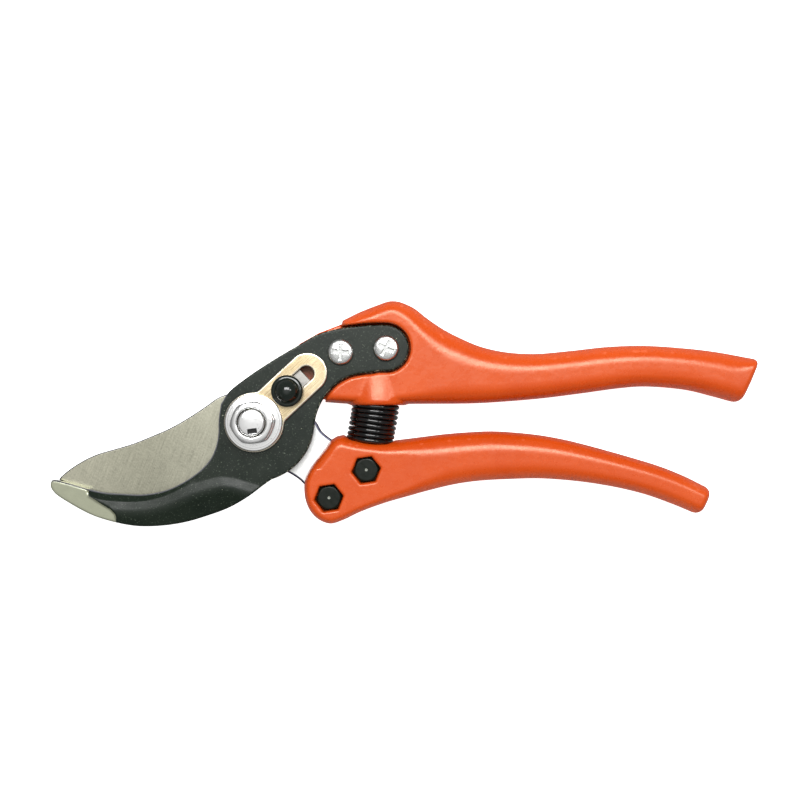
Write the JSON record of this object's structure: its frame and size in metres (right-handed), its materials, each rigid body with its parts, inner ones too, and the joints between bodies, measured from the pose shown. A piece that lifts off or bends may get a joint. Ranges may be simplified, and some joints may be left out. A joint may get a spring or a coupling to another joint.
{
  "type": "pruning shears",
  "caption": "Bypass pruning shears with a curved hook, ground blade, orange handles, coil return spring and sliding catch, lying closed.",
  "frame": {"origin": "middle of the back face of the pivot bolt's head, on the surface the shears lie on", "axes": "+X from the pivot to the handles, +Y from the lower to the upper handle, +Z along the pivot bolt to its nut"},
  "size_m": [0.2149, 0.069, 0.0223],
  "materials": {
    "black_steel": "satin",
    "orange_coat": "orange powder coat",
    "zinc_steel": "bright zinc",
    "chrome_steel": "polished",
    "spring_steel": "plain",
    "gold_zinc": "yellow zinc",
    "black_wire": "glossy black",
    "ground_steel": "ground",
    "black_bolt": "black oxide",
    "bronze": "plain",
    "black_plastic": "glossy"
  },
  "bodies": {
    "hook_side": {"hook_plate": "black_steel", "upper_handle": "orange_coat", "upper_handle_screws": "zinc_steel", "pivot_bolt": "chrome_steel", "pivot_nut": "chrome_steel", "pivot_washer": "spring_steel", "lock_plate": "gold_zinc", "return_spring": "black_wire"},
    "blade_side": {"blade": "ground_steel", "lower_handle": "orange_coat", "lower_handle_bolts": "black_bolt", "lower_handle_nuts": "zinc_steel", "lower_handle_washers": "zinc_steel", "pivot_sleeve": "bronze"},
    "catch": {"catch_slider": "spring_steel", "catch_knob": "black_plastic", "catch_washer": "spring_steel"}
  },
  "joints": [
    {"name": "pivot", "type": "hinge", "parent": "hook_side", "child": "blade_side", "pos_m": [0, 0, 0], "axis": [0, 0, -1], "range_deg": [0, 28], "stiffness_Nm_per_rad": 2.7, "springref_deg": 32.09, "deforming": ["return_spring"]},
    {"name": "catch_slide", "type": "slide", "parent": "hook_side", "child": "catch", "axis": [0.7314, 0.682, 0], "range_m": [0, 0.0055]}
  ]
}
